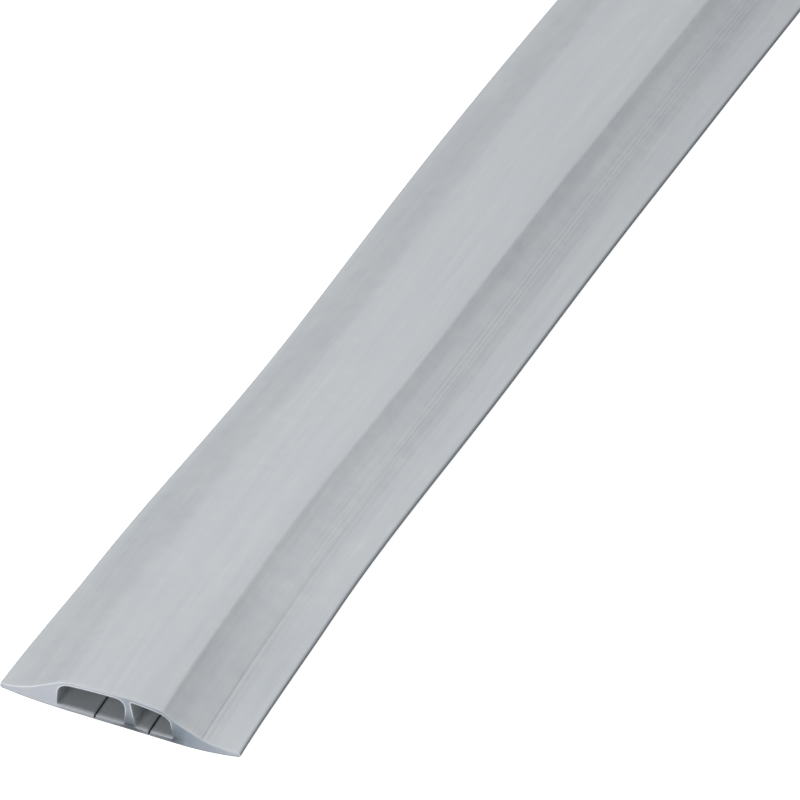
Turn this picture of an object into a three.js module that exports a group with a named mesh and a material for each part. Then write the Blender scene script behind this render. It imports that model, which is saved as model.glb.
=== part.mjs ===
import * as THREE from 'three';

// A floor cable cover: one strip of soft PVC, extruded with two cable channels.
// Millimetres. +Z is up, +Y runs along the strip, and +X runs across it to the right.
// The origin is on the underside, half way along, beside the foot of the rib.
// The end that curls and twists is at -Y. The rest of the strip lies flat and straight.

// Strip
const length = 1500;
const width = 83;

// Top: a low crown, highest over the rib, with a hollow ramp on its left
const crownHeight = 11.8;
const crownRise = 1.1;
const leftRampWidth = 20.6;
const leftRampPower = 1.5;
const leftShoulderRound = 2.2;
const leftLip = 2;

// Its right side: a steep shoulder, then a straight ramp, then a flatter lip
const rightSideWidth = 27;
const steepWidth = 4.1;
const rampTop = 8.1;
const lipWidth = 11;
const lipTop = 3.3;
const rightLip = 1.4;
const rightShoulderRound = 0.6;
const steepFootRound = 0.25;
const rampFootRound = 0.5;

// Walls round the wide and the narrow channel
const roof = 1.4;
const floor = 1.4;
const ribLeft = 1.6;
const ribTop = 1.8;
const ribFoot = 3.7;
const wideWallInset = 0.7;
const narrowWallTopInset = 2.7;
const narrowWallFootInset = 3.9;

// Rounding inside the channels
const wideLeftRound = 2.7;
const wideRightRound = 3.8;
const narrowLeftRound = 0.3;
const narrowRightRound = 0.9;
const footRound = 0.9;

// Slits in the floor, which let a cable into each channel
const slitWidth = 0.5;
const wideSlitFromRib = 10.1;
const narrowSlitFromRib = 4.9;

// How the free end lies: distances from that end, angles in degrees
const endRoll = -4.1;
const peakRoll = 3.6;
const peakRollAt = 200;
const flatFrom = 430;
const edgeLift = 0.33;
const turn = 1.6;
const bendFrom = 340;
const bendTo = 460;
const swayDepth = 3.7;
const swayLength = 365;
const leftCurl = 1.3;
const rightCurl = 2.2;
const curlLength = 35;
const stiffHalf = 20;

// Fineness of the faceting
const lipSteps = 4;
const rampSteps = 6;
const shoulderSteps = 6;
const crownSteps = 8;
const shoulderReach = 2.5;
const roofSteps = 7;
const lieSteps = 24;
const lieSpacingPower = 1.4;

const half = width / 2;
const crownLeft = -half + leftRampWidth;
const crownRight = half - rightSideWidth;
const leftTipRadius = leftLip / 2;
const rightTipRadius = rightLip / 2;
const topLeft = -half + leftTipRadius;
const topRight = half - rightTipRadius;

// The crown falls away from its peak to each shoulder as a parabola, and level beyond that.
function crown(x) {
  const peak = ribLeft + ribTop / 2;
  const shoulder = x < peak ? crownLeft : crownRight;
  const share = Math.min((x - peak) / (shoulder - peak), 1.5);
  return crownHeight - crownRise * share * share;
}

// The left ramp rises from its lip to the shoulder as a power of the way in from its tip.
function leftRamp(x) {
  const share = Math.max(x - topLeft, 0) / (crownLeft - topLeft);
  return leftLip + (crownHeight - crownRise - leftLip) * Math.pow(share, leftRampPower);
}

// The height at x on the straight line through two points of the section.
function onLine(x, x1, z1, x2, z2) {
  return z1 + (z2 - z1) * (x - x1) / (x2 - x1);
}

// The lower of two heights, blended where they come within the given rounding.
function roundedLower(a, b, rounding) {
  const near = Math.max(rounding - Math.abs(a - b), 0) / rounding;
  return Math.min(a, b) - near * near * rounding / 4;
}

// The higher of two heights, filled in where they come within the given rounding.
function roundedHigher(a, b, rounding) {
  return -roundedLower(-a, -b, rounding);
}

// The right side is the highest of three straight lines: shoulder, ramp and lip.
function rightSide(x) {
  const steepFoot = crownRight + steepWidth;
  const rampFoot = half - lipWidth;
  const steep = onLine(x, crownRight, crownHeight - crownRise, steepFoot, rampTop);
  const ramp = onLine(x, steepFoot, rampTop, rampFoot, lipTop);
  const lip = onLine(x, rampFoot, lipTop, topRight, rightLip);
  return roundedHigher(roundedHigher(steep, ramp, steepFootRound), lip, rampFootRound);
}

function topHeight(x) {
  const withLeft = roundedLower(crown(x), leftRamp(x), leftShoulderRound);
  return roundedLower(withLeft, rightSide(x), rightShoulderRound);
}

function roofHeight(x) {
  return topHeight(x) - roof;
}

// One channel, drawn from its slit round by the left wall, the roof and the right wall.
// Each wall has a foot and a top, as places across the strip, and a rounding at its top.
function drawChannel(outline, slit, left, right) {
  outline.lineTo(slit - slitWidth / 2, 0);
  outline.lineTo(slit - slitWidth / 2, floor);
  outline.lineTo(left.foot + footRound, floor);
  outline.quadraticCurveTo(left.foot, floor, left.foot, floor + footRound);
  outline.lineTo(left.top, roofHeight(left.top) - left.round);
  const from = left.top + left.round;
  const to = right.top - right.round;
  outline.quadraticCurveTo(left.top, roofHeight(left.top), from, roofHeight(from));
  for (let i = 1; i <= roofSteps; i++) {
    const x = from + (to - from) * i / roofSteps;
    outline.lineTo(x, roofHeight(x));
  }
  outline.quadraticCurveTo(
    right.top, roofHeight(right.top), right.top, roofHeight(right.top) - right.round);
  outline.lineTo(right.foot, floor + footRound);
  outline.quadraticCurveTo(right.foot, floor, right.foot - footRound, floor);
  outline.lineTo(slit + slitWidth / 2, floor);
  outline.lineTo(slit + slitWidth / 2, 0);
}

// The top from the right lip to the left one, with its closest points at the two shoulders.
function drawTop(outline) {
  const stretches = [
    { to: half - lipWidth, steps: lipSteps },
    { to: crownRight + steepWidth, steps: rampSteps },
    { to: crownRight - shoulderReach, steps: shoulderSteps },
    { to: crownLeft + shoulderReach, steps: crownSteps },
    { to: crownLeft - shoulderReach, steps: shoulderSteps },
    { to: topLeft, steps: rampSteps }];
  let from = topRight;
  for (const stretch of stretches) {
    for (let i = 1; i <= stretch.steps; i++) {
      const x = from + (stretch.to - from) * i / stretch.steps;
      outline.lineTo(x, topHeight(x));
    }
    from = stretch.to;
  }
}

// The whole section as one outline, because both channels open through their slits.
function stripSection() {
  const wideWall = crownLeft - wideWallInset;
  const ribRightFoot = ribLeft + ribFoot;
  const outline = new THREE.Shape();
  outline.moveTo(topLeft, 0);
  drawChannel(
    outline, ribLeft - wideSlitFromRib,
    { foot: wideWall, top: wideWall, round: wideLeftRound },
    { foot: ribLeft, top: ribLeft, round: wideRightRound });
  drawChannel(
    outline, ribRightFoot + narrowSlitFromRib,
    { foot: ribRightFoot, top: ribLeft + ribTop, round: narrowLeftRound },
    {
      foot: crownRight + narrowWallFootInset,
      top: crownRight + narrowWallTopInset,
      round: narrowRightRound
    });
  outline.lineTo(topRight, 0);
  outline.absarc(topRight, rightTipRadius, rightTipRadius, -Math.PI / 2, Math.PI / 2);
  drawTop(outline);
  outline.absarc(topLeft, leftTipRadius, leftTipRadius, Math.PI / 2, Math.PI * 3 / 2);
  return outline;
}

// One at zero, falling as a half wave to zero at one, and zero from there on.
function fall(share) {
  return Math.cos(Math.PI / 2 * Math.min(share, 1)) ** 2;
}

// Roll of the section: from its end value up to its peak, then away to flat.
function rollAt(along) {
  if (along < peakRollAt) {
    const rise = Math.sin(Math.PI / 2 * along / peakRollAt);
    return THREE.MathUtils.degToRad(endRoll + (peakRoll - endRoll) * rise);
  }
  const share = (along - peakRollAt) / (flatFrom - peakRollAt);
  return THREE.MathUtils.degToRad(peakRoll * fall(share));
}

// The strip's heading: turned by a small angle near the end, straight past the bend.
function headingAt(along) {
  const share = (bendTo - along) / (bendTo - bendFrom);
  return THREE.MathUtils.degToRad(turn * THREE.MathUtils.clamp(share, 0, 1));
}

// The sideways place of the strip's middle: that bend, with one fading wave on it.
function sideAt(along) {
  const slope = THREE.MathUtils.degToRad(turn);
  const inBend = THREE.MathUtils.clamp(bendTo - along, 0, bendTo - bendFrom);
  const bend = slope * (inBend * inBend / (2 * (bendTo - bendFrom)) + Math.max(bendFrom - along, 0));
  const wave = swayDepth * Math.sin(2 * Math.PI * along / swayLength) * fall(along / swayLength);
  return bend - wave;
}

// Where a point of the section comes to lie, at a distance from the free end.
function lay(x, z, along, target) {
  const roll = rollAt(along);
  const heading = headingAt(along);
  const outward = Math.max(Math.abs(x) - stiffHalf, 0) / (half - stiffHalf);
  const curl = (x < 0 ? leftCurl : rightCurl) * outward * outward;
  const lifted = z + curl * Math.exp(-((along / curlLength) ** 2));
  const raise = Math.hypot(half * Math.sin(roll), edgeLift * fall(along / flatFrom));
  const across = x * Math.cos(roll) - lifted * Math.sin(roll);
  target.set(
    sideAt(along) + across * Math.cos(heading),
    along - length / 2 + across * Math.sin(heading),
    raise + x * Math.sin(roll) + lifted * Math.cos(roll));
}

// Distances from the free end: close together where the strip bends, then one long step.
function stationAt(step) {
  if (step > lieSteps) {
    return length;
  }
  return Math.max(bendTo, flatFrom) * Math.pow(step / lieSteps, lieSpacingPower);
}

function coverGeometry() {
  const layers = lieSteps + 1;
  const geometry = new THREE.ExtrudeGeometry(stripSection(), {
    depth: layers, steps: layers, curveSegments: 4, bevelEnabled: false });
  const points = geometry.attributes.position;
  const point = new THREE.Vector3();
  for (let i = 0; i < points.count; i++) {
    const step = layers - Math.round(points.getZ(i));
    lay(points.getX(i), points.getY(i), stationAt(step), point);
    points.setXYZ(i, point.x, point.y, point.z);
  }
  geometry.computeVertexNormals();
  return geometry;
}

const softPvc = new THREE.MeshStandardMaterial({
  color: 0xc3c7cb, roughness: 0.55, metalness: 0 });

const cover = new THREE.Mesh(coverGeometry(), softPvc);
cover.name = 'cable_cover';

const part = new THREE.Group();
part.name = 'floor_cable_cover';
part.add(cover);

export default part;
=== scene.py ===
import math

import bpy
import numpy as np
from mathutils import Matrix, Vector


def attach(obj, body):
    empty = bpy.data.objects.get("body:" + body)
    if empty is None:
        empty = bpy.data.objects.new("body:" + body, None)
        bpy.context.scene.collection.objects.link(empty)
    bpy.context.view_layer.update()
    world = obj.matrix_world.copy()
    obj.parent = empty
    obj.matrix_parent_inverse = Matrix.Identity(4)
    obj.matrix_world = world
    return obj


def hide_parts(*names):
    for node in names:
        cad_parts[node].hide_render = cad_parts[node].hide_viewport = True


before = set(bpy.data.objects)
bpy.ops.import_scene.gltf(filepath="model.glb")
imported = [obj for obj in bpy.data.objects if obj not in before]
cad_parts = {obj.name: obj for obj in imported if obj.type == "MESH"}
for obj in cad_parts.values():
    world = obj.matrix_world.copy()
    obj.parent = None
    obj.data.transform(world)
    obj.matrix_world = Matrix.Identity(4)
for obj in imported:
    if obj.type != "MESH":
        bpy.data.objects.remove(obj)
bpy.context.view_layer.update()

# The strip.
# One length of soft grey PVC, extruded with a low crown, two ramps and two channels, each of which
# opens down through a slit. Both ends are knife cut, and the free one curls up and is twisted.

# Its length and width. All the strip's sizes are in millimetres, and its angles in degrees.
MM = 0.001
strip_length = 1500
strip_width = 83
half_width = strip_width / 2

# The crown, whose curve goes on half as far again past each shoulder and is level from there, and
# the hollow ramp on its left.
crown_height = 11.8
crown_rise = 1.1
crown_level_from = 1.5
left_ramp_width = 20.6
left_ramp_power = 1.5
left_shoulder_round = 2.2
left_lip = 2.0

# The right side, in three flats: a steep shoulder, a ramp and a lip.
right_side_width = 27.0
steep_width = 4.1
ramp_top = 8.1
lip_width = 11.0
lip_top = 3.3
right_lip = 1.4
right_shoulder_round = 0.25
right_roof_round = 0.6
steep_foot_round = 0.25
ramp_foot_round = 0.5

# The walls round the wide and the narrow channel, and the rounding inside them.
roof_thickness = 1.4
floor_thickness = 1.4
rib_left = 1.6
rib_top = 1.8
rib_foot = 3.7
wide_wall_inset = 0.7
narrow_wall_top_inset = 2.7
narrow_wall_foot_inset = 3.9
wide_left_round = 2.7
wide_right_round = 3.8
narrow_left_round = 0.3
narrow_right_round = 0.9
foot_round = 0.9

# The slits in the floor, with a flat shelf beside each that stays clear of a cut's inset rings.
slit_width = 0.5
slit_foot_width = 0.12
slit_shelf = 0.7
wide_slit_from_rib = 10.1
narrow_slit_from_rib = 4.9

# How the free end lies: its roll, lift, turn, sideways wave and curled edges.
end_roll = -4.1
peak_roll = 3.6
peak_roll_at = 200
flat_from = 430
edge_lift = 0.33
turn = 1.6
bend_from = 340
bend_to = 460
sway_depth = 3.7
sway_length = 365
left_curl = 1.3
right_curl = 2.2
curl_length = 35
stiff_half = 20

crown_left = -half_width + left_ramp_width
crown_right = half_width - right_side_width
left_tip_radius = left_lip / 2
right_tip_radius = right_lip / 2
top_left = -half_width + left_tip_radius
top_right = half_width - right_tip_radius
rib_right_foot = rib_left + rib_foot
wide_wall = crown_left - wide_wall_inset
wide_slit = rib_left - wide_slit_from_rib
narrow_slit = rib_right_foot + narrow_slit_from_rib


def crown(x):
    """The crown's height: a parabola each side of the peak over the rib, one rise lower at each
    shoulder, and level from half as far again beyond the shoulder."""
    peak = rib_left + rib_top / 2
    shoulder = np.where(x < peak, crown_left, crown_right)
    share = np.minimum((x - peak) / (shoulder - peak), crown_level_from)
    return crown_height - crown_rise * share * share


def left_ramp(x):
    """The left ramp's height: its lip, plus its rise times a power of the way in from its tip."""
    share = np.maximum(x - top_left, 0) / (crown_left - top_left)
    return left_lip + (crown_height - crown_rise - left_lip) * share ** left_ramp_power


def on_line(x, x1, z1, x2, z2):
    """The height at x on the straight line through two points."""
    return z1 + (z2 - z1) * (x - x1) / (x2 - x1)


def rounded_lower(a, b, rounding):
    """The lower of two heights, less a parabola where they come within the rounding of each other."""
    near = np.maximum(rounding - np.abs(a - b), 0) / rounding
    return np.minimum(a, b) - near * near * rounding / 4


def rounded_higher(a, b, rounding):
    """The higher of two heights, filled in by a parabola where they come within the rounding."""
    return -rounded_lower(-a, -b, rounding)


def right_side(x):
    """The right side's height: the rounded higher of three straight lines, shoulder, ramp and lip."""
    steep_foot, ramp_foot = crown_right + steep_width, half_width - lip_width
    steep = on_line(x, crown_right, crown_height - crown_rise, steep_foot, ramp_top)
    ramp = on_line(x, steep_foot, ramp_top, ramp_foot, lip_top)
    lip = on_line(x, ramp_foot, lip_top, top_right, right_lip)
    return rounded_higher(rounded_higher(steep, ramp, steep_foot_round), lip, ramp_foot_round)


def top_height(x, right_round=right_shoulder_round):
    """The top of the section: the rounded lower of the crown, the left ramp and the right side."""
    with_left = rounded_lower(crown(x), left_ramp(x), left_shoulder_round)
    return rounded_lower(with_left, right_side(x), right_round)


def roof_height(x):
    """The roof of a channel: the top of the section, with a softer shoulder, less its thickness."""
    return top_height(x, right_roof_round) - roof_thickness


def straight(start, end, steps):
    """Points on the line from start towards end, in equal steps, with the end left off."""
    share = np.arange(steps)[:, None] / steps
    return np.asarray(start) + (np.asarray(end) - np.asarray(start)) * share


def corner(start, control, end, steps):
    """Points on the quadratic curve from start to end, drawn towards its control, end left off."""
    s = np.arange(steps)[:, None] / steps
    start, control, end = np.asarray(start), np.asarray(control), np.asarray(end)
    return start * (1 - s) ** 2 + control * 2 * s * (1 - s) + end * s * s


def tip(centre_x, radius, from_angle, steps):
    """A half circle of points round a lip's tip, anticlockwise from an angle, with its end left off."""
    angle = from_angle + np.pi * np.arange(steps) / steps
    return np.stack([centre_x + radius * np.cos(angle), radius + radius * np.sin(angle)], 1)


# How many points the outline has on each floor, wall, rounding, roof, tip and stretch underneath.
floor_steps = 6
wall_steps = 4
foot_corner_steps = 6
roof_corner_steps = 8
wide_roof_steps = 16
narrow_roof_steps = 12
tip_steps = 10
left_under_steps = 10
middle_under_steps = 8
right_under_steps = 12


def channel(slit, left_foot, left_top, left_round, right_foot, right_top, right_round, roof_steps):
    """One channel, from its slit along the floor, up the left wall, under the roof and back down.
    The slit's two soft flaps lean together, so its lower half narrows to its foot."""
    floor = floor_thickness
    slit_left, slit_right = slit - slit_width / 2, slit + slit_width / 2
    left_roof, right_roof = float(roof_height(left_top)), float(roof_height(right_top))
    left_from = (left_top, left_roof - left_round)
    left_to = (left_top + left_round, float(roof_height(left_top + left_round)))
    right_from = (right_top - right_round, float(roof_height(right_top - right_round)))
    right_to = (right_top, right_roof - right_round)
    roof_x = np.linspace(left_to[0], right_from[0], roof_steps, endpoint=False)
    return np.concatenate([
        np.array([(slit - slit_foot_width / 2, 0), (slit_left, floor / 2), (slit_left, floor)]),
        straight((slit_left - slit_shelf, floor), (left_foot + foot_round, floor), floor_steps),
        corner((left_foot + foot_round, floor), (left_foot, floor),
               (left_foot, floor + foot_round), foot_corner_steps),
        straight((left_foot, floor + foot_round), left_from, wall_steps),
        corner(left_from, (left_top, left_roof), left_to, roof_corner_steps),
        np.stack([roof_x, roof_height(roof_x)], 1),
        corner(right_from, (right_top, right_roof), right_to, roof_corner_steps),
        straight(right_to, (right_foot, floor + foot_round), wall_steps),
        corner((right_foot, floor + foot_round), (right_foot, floor),
               (right_foot - foot_round, floor), foot_corner_steps),
        straight((right_foot - foot_round, floor), (slit_right + slit_shelf, floor), floor_steps),
        np.array([(slit_right + slit_shelf, floor), (slit_right, floor), (slit_right, floor / 2)])])


# The top's outline has even points, and closer ones at the score, the lines left of it and the
# right shoulder. Points that would nearly meet are dropped.
score_at = 28.2
score_before = 1.5
score_after = 1.9
lines_from = 22.4
shoulder_reach = 0.9
even_points = 140
close_spacing = 0.12
lines_spacing = 0.16
least_spacing = 0.06
top_x = np.unique(np.concatenate([
    np.linspace(top_left, top_right, even_points)[1:-1],
    np.arange(lines_from, score_at - score_before, lines_spacing),
    np.arange(score_at - score_before, score_at + score_after, close_spacing),
    np.arange(crown_right - shoulder_reach, crown_right + shoulder_reach, close_spacing)]))
top_x = top_x[np.append(True, np.diff(top_x) > least_spacing)][::-1]

# The whole section, anticlockwise from the left end of the underside.
outline = np.concatenate([
    straight((top_left, 0), (wide_slit - slit_foot_width / 2, 0), left_under_steps),
    channel(wide_slit, wide_wall, wide_wall, wide_left_round,
            rib_left, rib_left, wide_right_round, wide_roof_steps),
    straight((wide_slit + slit_foot_width / 2, 0), (narrow_slit - slit_foot_width / 2, 0),
             middle_under_steps),
    channel(narrow_slit, rib_right_foot, rib_left + rib_top, narrow_left_round,
            crown_right + narrow_wall_foot_inset, crown_right + narrow_wall_top_inset,
            narrow_right_round, narrow_roof_steps),
    straight((narrow_slit + slit_foot_width / 2, 0), (top_right, 0), right_under_steps),
    tip(top_right, right_tip_radius, -np.pi / 2, tip_steps),
    np.array([[top_right, right_lip]]),
    np.stack([top_x, top_height(top_x)], 1),
    np.array([[top_left, left_lip]]),
    tip(top_left, left_tip_radius, np.pi / 2, tip_steps)[1:]])
outline_x, outline_z = outline[:, 0], outline[:, 1]
on_top = np.zeros(len(outline), bool)
on_top[-(len(top_x) + 1 + tip_steps):-tip_steps] = True


def inset(points, depth):
    """The closed outline moved into the solid: each point goes along the sum of its two edges'
    normals, times the depth, over one plus their dot product, or over a sharp corner's divisor
    where that is more."""
    sharp_corner = 0.4
    edge = np.roll(points, -1, 0) - points
    normal = np.stack([-edge[:, 1], edge[:, 0]], 1) / np.linalg.norm(edge, axis=1, keepdims=True)
    before = np.roll(normal, 1, 0)
    meet = 1 + np.sum(normal * before, 1, keepdims=True)
    return points + depth * (normal + before) / np.maximum(meet, sharp_corner)


# What the die has scored and drawn on the top: the score, the hollow under the right shoulder, and
# fine lines, each given by its place across, its spread and its height.
score_depth = 0.11
score_left_spread = 0.3
score_right_spread = 0.65
hollow_at = 16.3
hollow_spread = 1.3
hollow_depth = 0.12
faintest = 0.15
faint_from = 140
lines_by_score = [
    (22.9, 0.22, 0.02), (23.6, 0.22, -0.03), (24.4, 0.2, 0.025), (25.1, 0.2, -0.03),
    (25.7, 0.2, 0.03), (26.3, 0.2, -0.02), (26.9, 0.2, 0.025)]
hidden_at_end = 0.8
hidden_over = 130
lines_elsewhere = [
    (20.6, 0.4, -0.02), (30.1, 0.3, -0.025), (31.4, 0.5, 0.02), (33.4, 0.7, -0.02),
    (-31.5, 0.6, -0.03), (-27.5, 0.8, 0.03), (-8, 0.6, -0.02), (6.4, 0.9, 0.02)]

# What lying about has done to it: slow waves, each given by its place across, its spread, its
# height, its length for one radian, and where it starts. All of this ends short of the tips.
slow_waves = [
    (15.5, 5, 0.10, 23, 0.6), (22, 6, 0.06, 37, 2), (-22, 6, 0.08, 31, 1),
    (-31, 6, 0.05, 17, 0), (0, 9, 0.05, 51, 4)]
tip_margin = 4


def bell(x, centre, spread):
    """A bell curve: e to the power of minus the square of the distance from its centre over its
    spread."""
    return np.exp(-((x - centre) / spread) ** 2)


def relief(x, along):
    """Height added to the top: a score line, steep on its left and slack on its right, and a hollow
    under the right shoulder, both a bell across and fainter past the free end, then fine lines, each
    a narrow bell across, of which those by the score grow from the free end, and slow waves, each a
    sine along times a bell across."""
    fading = faintest + (1 - faintest) * bell(along, 0, faint_from)
    growing = 1 - hidden_at_end * bell(along, 0, hidden_over)
    score_spread = np.where(x < score_at, score_left_spread, score_right_spread)
    score = -score_depth * bell(x, score_at, score_spread) * fading
    hollow = -hollow_depth * bell(x, hollow_at, hollow_spread) * fading
    by_score = sum(height * bell(x, place, spread) for place, spread, height in lines_by_score)
    elsewhere = sum(height * bell(x, place, spread) for place, spread, height in lines_elsewhere)
    waves = sum(height * np.sin(along / radian + start) * bell(x, place, spread)
                for place, spread, height, radian, start in slow_waves)
    inside_tips = np.clip((half_width - np.abs(x)) / tip_margin, 0, 1)
    return (score + hollow + by_score * growing + elsewhere + waves) * inside_tips


def fall(share):
    """One at zero, falling as a half wave to zero at one, and zero from there on."""
    return np.cos(np.pi / 2 * np.minimum(share, 1)) ** 2


def lay(x, z, along):
    """Where a point of the section comes to lie: rolled, with its edges curled up at the free end,
    raised so that nothing is under the floor, and carried along a bend with one fading wave."""
    rising = end_roll + (peak_roll - end_roll) * np.sin(np.pi / 2 * along / peak_roll_at)
    falling = peak_roll * fall((along - peak_roll_at) / (flat_from - peak_roll_at))
    roll = np.radians(np.where(along < peak_roll_at, rising, falling))
    heading = np.radians(turn * np.clip((bend_to - along) / (bend_to - bend_from), 0, 1))
    in_bend = np.clip(bend_to - along, 0, bend_to - bend_from)
    bend = np.radians(turn) * (in_bend ** 2 / (2 * (bend_to - bend_from))
                               + np.maximum(bend_from - along, 0))
    wave = sway_depth * np.sin(2 * np.pi * along / sway_length) * fall(along / sway_length)
    outward = np.maximum(np.abs(x) - stiff_half, 0) / (half_width - stiff_half)
    curl = np.where(x < 0, left_curl, right_curl) * outward ** 2
    lifted = z + curl * np.exp(-(along / curl_length) ** 2)
    raised = np.hypot(half_width * np.sin(roll), edge_lift * fall(along / flat_from))
    across = x * np.cos(roll) - lifted * np.sin(roll)
    return np.stack([
        bend - wave + across * np.cos(heading),
        along - strip_length / 2 + across * np.sin(heading),
        raised + x * np.sin(roll) + lifted * np.cos(roll)], -1)


# Each ring of the strip is one section. A cut has five: how far along each is, and how far it is
# inset, so that three lie in the cut's face and two round its rim. Between the cuts, the rings are
# close together where the strip bends.
cut_along = np.array([0.0, 0.0, 0.0, 0.05, 0.22])
cut_inset = np.array([0.5, 0.36, 0.2, 0.06, 0.0])
bent_rings = 170
bent_power = 1.1
first_gap = 0.5
flat_rings = 44
last_gap = 6
bent_stretch = bend_to * np.linspace(0, 1, bent_rings + 1)[1:] ** bent_power
flat_stretch = np.linspace(bend_to, strip_length - last_gap, flat_rings + 1)[1:]
along_rings = np.concatenate([
    cut_along, bent_stretch[bent_stretch > first_gap], flat_stretch, strip_length - cut_along[::-1]])
inset_rings = np.zeros(len(along_rings))
inset_rings[:len(cut_inset)] = cut_inset
inset_rings[-len(cut_inset):] = cut_inset[::-1]

section = np.stack([inset(outline, depth) for depth in inset_rings])
section_x, section_z = section[:, :, 0], section[:, :, 1]
ring_along = np.broadcast_to(along_rings[:, None], section_x.shape)
section_z = section_z + np.where(on_top, relief(outline_x, ring_along), 0)
vertices = lay(section_x, section_z, ring_along) * MM

# Four-sided faces join each ring to the next, and one face of many sides closes each cut.
rings, around = section_x.shape
number = np.arange(rings * around).reshape(rings, around)
beside = np.roll(number, -1, 1)
quads = np.stack([number[:-1], number[1:], beside[1:], beside[:-1]], -1).reshape(-1, 4)
free_cut = number[0]
far_cut = number[-1][::-1]

strip_mesh = bpy.data.meshes.new("strip")
strip_mesh.vertices.add(rings * around)
strip_mesh.vertices.foreach_set("co", vertices.reshape(-1))
corners = np.concatenate([quads.reshape(-1), free_cut, far_cut])
sizes = np.concatenate([np.full(len(quads), 4), [around, around]])
strip_mesh.loops.add(len(corners))
strip_mesh.loops.foreach_set("vertex_index", corners)
strip_mesh.polygons.add(len(sizes))
strip_mesh.polygons.foreach_set("loop_start", np.concatenate([[0], np.cumsum(sizes)[:-1]]))
strip_mesh.polygons.foreach_set("loop_total", sizes)
strip_mesh.update(calc_edges=True)

# The girth runs round the section and the length along it, both in metres, for the streaks.
girth = np.concatenate([[0], np.cumsum(np.linalg.norm(np.diff(outline, axis=0), axis=1))])
strip_uv = strip_mesh.uv_layers.new(name="girth_and_length")
uv = np.stack([np.broadcast_to(girth, (rings, around)), ring_along], -1).reshape(-1, 2) * MM
strip_uv.data.foreach_set("uv", uv[corners].reshape(-1))

# Every point's place in the section, across and up in metres, lets the cuts be toned by it.
in_section = strip_mesh.attributes.new("place_in_section", "FLOAT_VECTOR", "POINT")
places = np.stack([section_x, section_z, np.zeros(section_x.shape)], -1) * MM
in_section.data.foreach_set("vector", places.reshape(-1))


def mark(name, values):
    """A value from nought to one for every point of the strip, for its materials to read."""
    made = strip_mesh.attributes.new(name, "FLOAT", "POINT")
    whole = np.broadcast_to(values, (rings, around)).astype(np.float32)
    made.data.foreach_set("value", whole.reshape(-1))


# A painted highlight along the cut's rim: full along the roofs and the left wedge's top, faint
# low down and on the right wedge, and fading over the cut's face beside it.
pale_above = 4
pale_rise = 3
palest_low = 0.1
pale_left_of = -18
pale_run = 4
palest_right = 0.3
rim_of_ring = np.array([0, 0.7, 1, 0.8])
height_share = np.clip((outline_z - pale_above) / pale_rise, palest_low, 1)
left_share = palest_right + (1 - palest_right) * np.clip((pale_left_of - outline_x) / pale_run, 0, 1)
paleness = np.where(on_top | (outline_x < top_left), left_share, height_share)
rim = np.zeros((rings, around))
rim[:len(rim_of_ring)] = rim_of_ring[:, None] * paleness
rim[-len(rim_of_ring):] = rim[len(rim_of_ring) - 1::-1]
mark("painted_rim_highlight", rim)

# The whole lower edge of a cut is painted dark as a contact shadow, in a line as wide as its rounding.
left_edge_shadow = 0.4
right_edge_shadow = 0.7
at_height = 0.05
lower_edge = (outline_z < at_height) | ((outline_x < top_left) & (outline_z < left_tip_radius))
edge_shadow = np.zeros((rings, around))
edge_shadow[1:4] = lower_edge * np.where(outline_x < wide_wall, left_edge_shadow, right_edge_shadow)
edge_shadow[-4:-1] = edge_shadow[1:4]
mark("painted_edge_shadow", edge_shadow)

# The side of the right lip is painted dark as shade, fading over its last millimetre.
lip_shade_width = 1.3
lip_shade = np.clip((outline_x - (half_width - lip_shade_width)) / lip_shade_width, 0, 1)
mark("shaded_lip_side", lip_shade * lip_shade * (3 - 2 * lip_shade))

# The slits' walls are painted with shade, nearly black from half way down them.
slit_top_shade = 0.4
from_slit = np.minimum(np.abs(outline_x - wide_slit), np.abs(outline_x - narrow_slit))
in_slit = (from_slit < slit_width) & (outline_z < floor_thickness + at_height)
mark("slit_painted_shade", in_slit * np.where(outline_z < floor_thickness - at_height, 1.0, slit_top_shade))

# A cut's face and its sheared rim take the second material. Edges that turn by more than
# sharp_from degrees stay sharp, as those at the slits do.
sharp_from = 38
finish_of_face = np.zeros(len(sizes), np.int32)
cut_quads = (len(cut_along) - 2) * around
finish_of_face[:cut_quads] = 1
finish_of_face[len(quads) - cut_quads:] = 1
strip_mesh.polygons.foreach_set("material_index", finish_of_face)
strip_mesh.polygons.foreach_set("use_smooth", np.ones(len(sizes), bool))
strip_mesh.set_sharp_from_angle(angle=math.radians(sharp_from))
strip_mesh.validate()

strip = bpy.data.objects.new("strip", strip_mesh)
bpy.context.collection.objects.link(strip)


def new_group(name, inputs, output):
    """A shader node group with float inputs (name, default) and one float output."""
    group = bpy.data.node_groups.new(name, "ShaderNodeTree")
    for socket, default in inputs:
        made = group.interface.new_socket(socket, in_out="INPUT", socket_type="NodeSocketFloat")
        made.default_value = default
    group.interface.new_socket(output, in_out="OUTPUT", socket_type="NodeSocketFloat")
    return group, group.nodes.new("NodeGroupInput"), group.nodes.new("NodeGroupOutput")


def object_place(tree):
    """A point's place in the object, in metres."""
    return tree.nodes.new("ShaderNodeTexCoord").outputs["Object"]


def noise(tree, vector, scale, detail=2.0, roughness=0.5):
    """A noise texture on a vector, and its value socket."""
    node = tree.nodes.new("ShaderNodeTexNoise")
    node.inputs["Scale"].default_value = scale
    node.inputs["Detail"].default_value = detail
    node.inputs["Roughness"].default_value = roughness
    tree.links.new(vector, node.inputs["Vector"])
    return node.outputs["Fac"]


def stretched(tree, vector, scale):
    """A vector scaled by three numbers, so that a noise on it is drawn out."""
    node = tree.nodes.new("ShaderNodeMapping")
    node.inputs["Scale"].default_value = scale
    tree.links.new(vector, node.inputs["Vector"])
    return node.outputs["Vector"]


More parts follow.
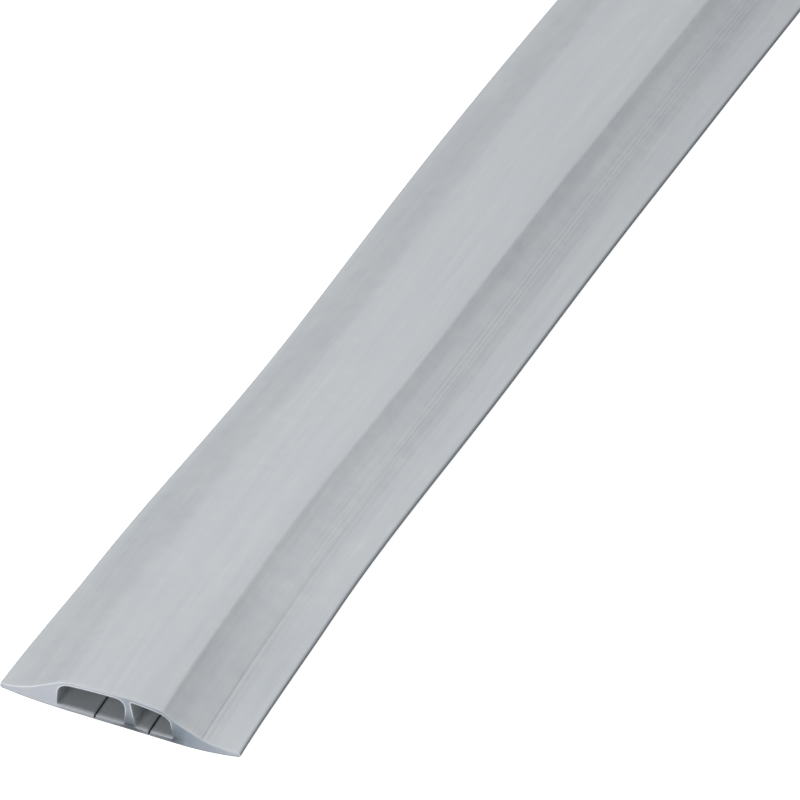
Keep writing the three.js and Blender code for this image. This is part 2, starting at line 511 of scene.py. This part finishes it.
def worked(tree, kind, first, second):
    """One math node on two sockets or numbers, and its value."""
    node = tree.nodes.new("ShaderNodeMath")
    node.operation = kind
    for socket, value in zip(node.inputs, (first, second)):
        if isinstance(value, (int, float)):
            socket.default_value = value
        else:
            tree.links.new(value, socket)
    return node.outputs["Value"]


def weighed(tree, *terms):
    """The sum of values, each times its weight."""
    total = worked(tree, "MULTIPLY", *terms[0])
    for value, weight in terms[1:]:
        total = worked(tree, "ADD", total, worked(tree, "MULTIPLY", value, weight))
    return total


# Die streaks: three widths of line drawn out along the strip, as the die leaves them. Each is a
# noise with so many cells to the metre round the section and along the strip.
fine_cells = (1300, 40, 1)
medium_cells = (420, 14, 1)
broad_cells = (110, 2.5, 1)
streaks, streaks_in, streaks_out = new_group(
    "die_streaks", [("Fine", 0.4), ("Medium", 0.35), ("Broad", 0.25)], "Streaks")
uv_node = streaks.nodes.new("ShaderNodeUVMap")
uv_node.uv_map = "girth_and_length"
fine = noise(streaks, stretched(streaks, uv_node.outputs["UV"], fine_cells), 1)
medium = noise(streaks, stretched(streaks, uv_node.outputs["UV"], medium_cells), 1)
broad = noise(streaks, stretched(streaks, uv_node.outputs["UV"], broad_cells), 1)
streaked = weighed(streaks, (fine, streaks_in.outputs["Fine"]), (medium, streaks_in.outputs["Medium"]),
                   (broad, streaks_in.outputs["Broad"]))
streaks.links.new(streaked, streaks_out.inputs["Streaks"])

# Bloom: the soft pale and dark patches that plasticiser and handling leave on PVC, with large
# patches drawn out along the strip and a smaller cloud over them, in cells to the metre.
patch_cells = 26
patch_stretch = (1, 0.45, 1)
cloud_cells = 150
bloom, bloom_in, bloom_out = new_group("pvc_bloom", [("Patches", 0.6), ("Cloud", 0.4)], "Bloom")
bloom_at = object_place(bloom)
patches = noise(bloom, stretched(bloom, bloom_at, patch_stretch), patch_cells, 3, 0.55)
cloud = noise(bloom, bloom_at, cloud_cells, 3, 0.6)
bloomed = weighed(bloom, (patches, bloom_in.outputs["Patches"]), (cloud, bloom_in.outputs["Cloud"]))
bloom.links.new(bloomed, bloom_out.inputs["Bloom"])


def new_finish(name):
    """A material that takes nodes, with its node tree and its shader."""
    finish = bpy.data.materials.new(name)
    finish.use_nodes = True
    return finish, finish.node_tree, finish.node_tree.nodes["Principled BSDF"]


def placed(tree, group, output, **values):
    """A group's output in a material, with the group's inputs set to these values."""
    node = tree.nodes.new("ShaderNodeGroup")
    node.node_tree = group
    for name, value in values.items():
        node.inputs[name].default_value = value
    return node.outputs[output]


def marked(tree, name, output="Fac"):
    """What the mesh holds for a point under this name."""
    node = tree.nodes.new("ShaderNodeAttribute")
    node.attribute_name = name
    return node.outputs[output]


def shades(tree, factor, stops):
    """A colour ramp over a value, from stops of position and linear colour."""
    node = tree.nodes.new("ShaderNodeValToRGB")
    while len(node.color_ramp.elements) < len(stops):
        node.color_ramp.elements.new(0.5)
    for element, (position, colour) in zip(node.color_ramp.elements, stops):
        element.position = position
        element.color = (*colour, 1)
    tree.links.new(factor, node.inputs["Fac"])
    return node.outputs["Color"]


def graded(tree, factor, stops):
    """An amount that changes over a value, from stops of position and amount."""
    return shades(tree, factor, [(position, (amount, amount, amount)) for position, amount in stops])


def ranged(tree, value, start, end, low=0.0, high=1.0):
    """A value carried from a range to another, low at its start and high at its end, held beyond."""
    node = tree.nodes.new("ShaderNodeMapRange")
    node.inputs["From Min"].default_value = start
    node.inputs["From Max"].default_value = end
    node.inputs["To Min"].default_value = low
    node.inputs["To Max"].default_value = high
    tree.links.new(value, node.inputs["Value"])
    return node.outputs["Result"]


def varied(tree, value, low, high):
    """A noise, nearly all of which is from 0.3 to 0.7, carried over to a range from low to high."""
    return ranged(tree, value, 0.3, 0.7, low, high)


def toned(tree, factor, colour, other):
    """One colour mixed towards another, given as a linear colour, by a mask."""
    node = tree.nodes.new("ShaderNodeMix")
    node.data_type = "RGBA"
    ends = [socket for socket in node.inputs if socket.type == "RGBA"]
    tree.links.new(factor, node.inputs[0])
    tree.links.new(colour, ends[0])
    ends[1].default_value = (*other, 1)
    return [socket for socket in node.outputs if socket.type == "RGBA"][0]


def bumped(tree, shader, height, strength, distance):
    """The surface raised by a height, with the bump's strength and its depth in metres."""
    bump = tree.nodes.new("ShaderNodeBump")
    bump.inputs["Strength"].default_value = strength
    bump.inputs["Distance"].default_value = distance
    tree.links.new(height, bump.inputs["Height"])
    tree.links.new(bump.outputs["Normal"], shader.inputs["Normal"])


# The extruded skin: matt cool grey, with streaks and bloom in its colour, gloss and surface.
skin_greys = [
    (0.30, (0.390, 0.416, 0.446)), (0.45, (0.455, 0.480, 0.505)),
    (0.55, (0.488, 0.511, 0.529)), (0.70, (0.560, 0.579, 0.594))]
lip_shade_grey = (0.215, 0.24, 0.265)
slit_shade_black = (0.012, 0.013, 0.015)
grain_cells = 1800
skin, tree, shader = new_finish("soft_pvc_skin")
skin_streaks = placed(tree, streaks, "Streaks", Fine=0.3, Medium=0.4, Broad=0.3)
skin_bloom = placed(tree, bloom, "Bloom", Patches=0.5, Cloud=0.5)
skin_tone = weighed(tree, (skin_streaks, 0.5), (skin_bloom, 0.5))
clean = shades(tree, skin_tone, skin_greys)
# The right lip's side is painted with shade, and the slits' walls are painted near black with shade.
lip_shaded = toned(tree, marked(tree, "shaded_lip_side"), clean, lip_shade_grey)
slit_shaded = toned(tree, marked(tree, "slit_painted_shade"), lip_shaded, slit_shade_black)
tree.links.new(slit_shaded, shader.inputs["Base Color"])
tree.links.new(varied(tree, skin_bloom, 0.42, 0.62), shader.inputs["Roughness"])
skin_grain = noise(tree, object_place(tree), grain_cells, 2, 0.6)
bumped(tree, shader, weighed(tree, (skin_streaks, 1.0), (skin_grain, 0.25)), 0.5, 0.00016)

# The knife cut: the same PVC, bluer and duller, with the blade's fine drag lines.
cut_greys = [
    (0.30, (0.378, 0.400, 0.444)), (0.5, (0.414, 0.434, 0.475)), (0.70, (0.455, 0.473, 0.510))]
drag_cells = (90, 90, 1500)
cut, tree, shader = new_finish("soft_pvc_knife_cut")
cut_bloom = placed(tree, bloom, "Bloom", Patches=0.4, Cloud=0.6)
drag = noise(tree, stretched(tree, object_place(tree), drag_cells), 1, 3, 0.6)
bare = shades(tree, weighed(tree, (cut_bloom, 0.6), (drag, 0.4)), cut_greys)
place = tree.nodes.new("ShaderNodeSeparateXYZ")
tree.links.new(marked(tree, "place_in_section", "Vector"), place.inputs["Vector"])
across = ranged(tree, place.outputs["X"], -half_width * MM, half_width * MM)

# Painted shade darkens the cut from the rib to the right, most beside the narrow channel. Stops
# give a share of the way across the strip, and how much painted shade is there.
painted_shade_blue = (0.165, 0.205, 0.25)
painted_shade_stops = [
    (0.30, 0.0), (0.46, 0.15), (0.53, 0.75), (0.60, 0.55), (0.69, 1.0), (0.76, 1.0), (0.86, 0.70),
    (0.97, 0.25)]
painted_shade = worked(tree, "MULTIPLY", graded(tree, across, painted_shade_stops),
                 varied(tree, cut_bloom, 0.7, 1.0))
cut_with_shade = toned(tree, painted_shade, bare, painted_shade_blue)

# Painted shade lies low on the cut: on the rib's foot and beside the narrow channel, and less
# on the floor's lips.
low_shade_top = 0.0075
low_shade_full = 0.002
low_shade_grey = (0.038, 0.046, 0.057)
low_shade_stops = [
    (0.235, 0.0), (0.26, 0.35), (0.39, 0.35), (0.404, 0.60), (0.50, 0.65), (0.53, 1.0), (0.572, 1.0),
    (0.608, 0.45), (0.70, 0.60), (0.722, 1.0), (0.740, 0.70), (0.775, 0.0)]
low = ranged(tree, place.outputs["Y"], low_shade_top, low_shade_full)
low_shade_depth = worked(tree, "MULTIPLY",
                     worked(tree, "MULTIPLY", low, graded(tree, across, low_shade_stops)),
                     varied(tree, drag, 0.7, 1.0))
low_shaded = toned(tree, low_shade_depth, cut_with_shade, low_shade_grey)

# The lower edge carries a painted contact shadow all along, and the rim a painted highlight.
edge_shadow_grey = (0.055, 0.065, 0.075)
rim_highlight_white = (0.66, 0.68, 0.70)
edge_shadow_depth = worked(tree, "MULTIPLY", marked(tree, "painted_edge_shadow"), varied(tree, drag, 0.6, 1.0))
edge_shadowed = toned(tree, edge_shadow_depth, low_shaded, edge_shadow_grey)
rim_highlight_depth = worked(tree, "MULTIPLY", marked(tree, "painted_rim_highlight"), varied(tree, cut_bloom, 0.6, 1.0))
tree.links.new(toned(tree, rim_highlight_depth, edge_shadowed, rim_highlight_white), shader.inputs["Base Color"])
tree.links.new(varied(tree, drag, 0.5, 0.72), shader.inputs["Roughness"])
bumped(tree, shader, drag, 0.4, 0.0001)

strip_mesh.materials.append(skin)
strip_mesh.materials.append(cut)
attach(strip, "root")
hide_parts("cable_cover")

# The floor.
# A plain white studio floor that the strip lies on, just under it so that the two never touch. It
# glows to the camera alone, so that it comes out white and lights nothing.
floor_half = 6.0
floor_level = -0.0002
floor_greys = [(0.3, 0.69), (0.7, 0.71)]
floor_glow = 0.91
floor_mesh = bpy.data.meshes.new("studio_floor")
floor_mesh.from_pydata(
    [(-floor_half, -floor_half, floor_level), (floor_half, -floor_half, floor_level),
     (floor_half, floor_half, floor_level), (-floor_half, floor_half, floor_level)],
    [], [(0, 1, 2, 3)])
studio_floor = bpy.data.objects.new("studio_floor", floor_mesh)
bpy.context.collection.objects.link(studio_floor)
paper, tree, shader = new_finish("white_floor")
shader.inputs["Roughness"].default_value = 0.9
shader.inputs["Specular IOR Level"].default_value = 0.1
mottle = noise(tree, object_place(tree), 3)
tree.links.new(graded(tree, mottle, floor_greys), shader.inputs["Base Color"])
seen = tree.nodes.new("ShaderNodeLightPath").outputs["Is Camera Ray"]
shader.inputs["Emission Color"].default_value = (1, 1, 1, 1)
tree.links.new(worked(tree, "MULTIPLY", seen, floor_glow), shader.inputs["Emission Strength"])
floor_mesh.materials.append(paper)

# The light.
# One soft box over the free end, a little to the left, a panel behind on the left for the sheen,
# a low one in front for the cut, and pale air.


def soft_light(name, place, aim, size, watts):
    """An area light at a place, turned to face the aim, with its width and height in metres."""
    lamp = bpy.data.lights.new(name, "AREA")
    lamp.shape = "RECTANGLE"
    lamp.size, lamp.size_y = size
    lamp.energy = watts
    light = bpy.data.objects.new(name, lamp)
    light.location = place
    light.rotation_euler = (Vector(aim) - Vector(place)).to_track_quat("-Z", "Y").to_euler()
    bpy.context.collection.objects.link(light)


soft_light("overhead_softbox", (-0.22, -0.85, 1.4), aim=(0, -0.6, 0), size=(0.5, 0.6), watts=12.9)
soft_light("back_panel", (-0.50, 0.85, 1.0), aim=(0, -0.5, 0), size=(0.9, 0.6), watts=6.8)
soft_light("front_panel", (0.05, -2.1, 0.42), aim=(0, -0.75, 0), size=(0.6, 0.4), watts=14.1)
air_colour = (0.95, 0.97, 1, 1)
air_strength = 0.178
air = bpy.data.worlds.new("pale_air")
air.use_nodes = True
air.node_tree.nodes["Background"].inputs["Color"].default_value = air_colour
air.node_tree.nodes["Background"].inputs["Strength"].default_value = air_strength
bpy.context.scene.world = air
bpy.context.scene.view_settings.view_transform = "Standard"

# The camera.
# It looks along and down the strip from its free end, from a little to the right, with a long lens.
camera_azimuth = math.radians(24.084)
camera_elevation = math.radians(33.036)
camera_roll = math.radians(-0.172)
camera_distance = 2.6918
camera_aim = Vector((0.01354, -0.53832, 0))
camera_data = bpy.data.cameras.new("camera")
camera_data.sensor_fit = "HORIZONTAL"
camera_data.sensor_width = 36
camera_data.lens = 362.22
camera = bpy.data.objects.new("camera", camera_data)
back = Vector((math.sin(camera_azimuth) * math.cos(camera_elevation),
               -math.cos(camera_azimuth) * math.cos(camera_elevation), math.sin(camera_elevation)))
level = Vector((math.cos(camera_azimuth), math.sin(camera_azimuth), 0))
upright = level.cross(-back)
right = math.cos(camera_roll) * level + math.sin(camera_roll) * upright
up = -math.sin(camera_roll) * level + math.cos(camera_roll) * upright
camera.matrix_world = Matrix.Translation(camera_aim + back * camera_distance) @ Matrix(
    (right, up, back)).transposed().to_4x4()
bpy.context.collection.objects.link(camera)
bpy.context.scene.camera = camera
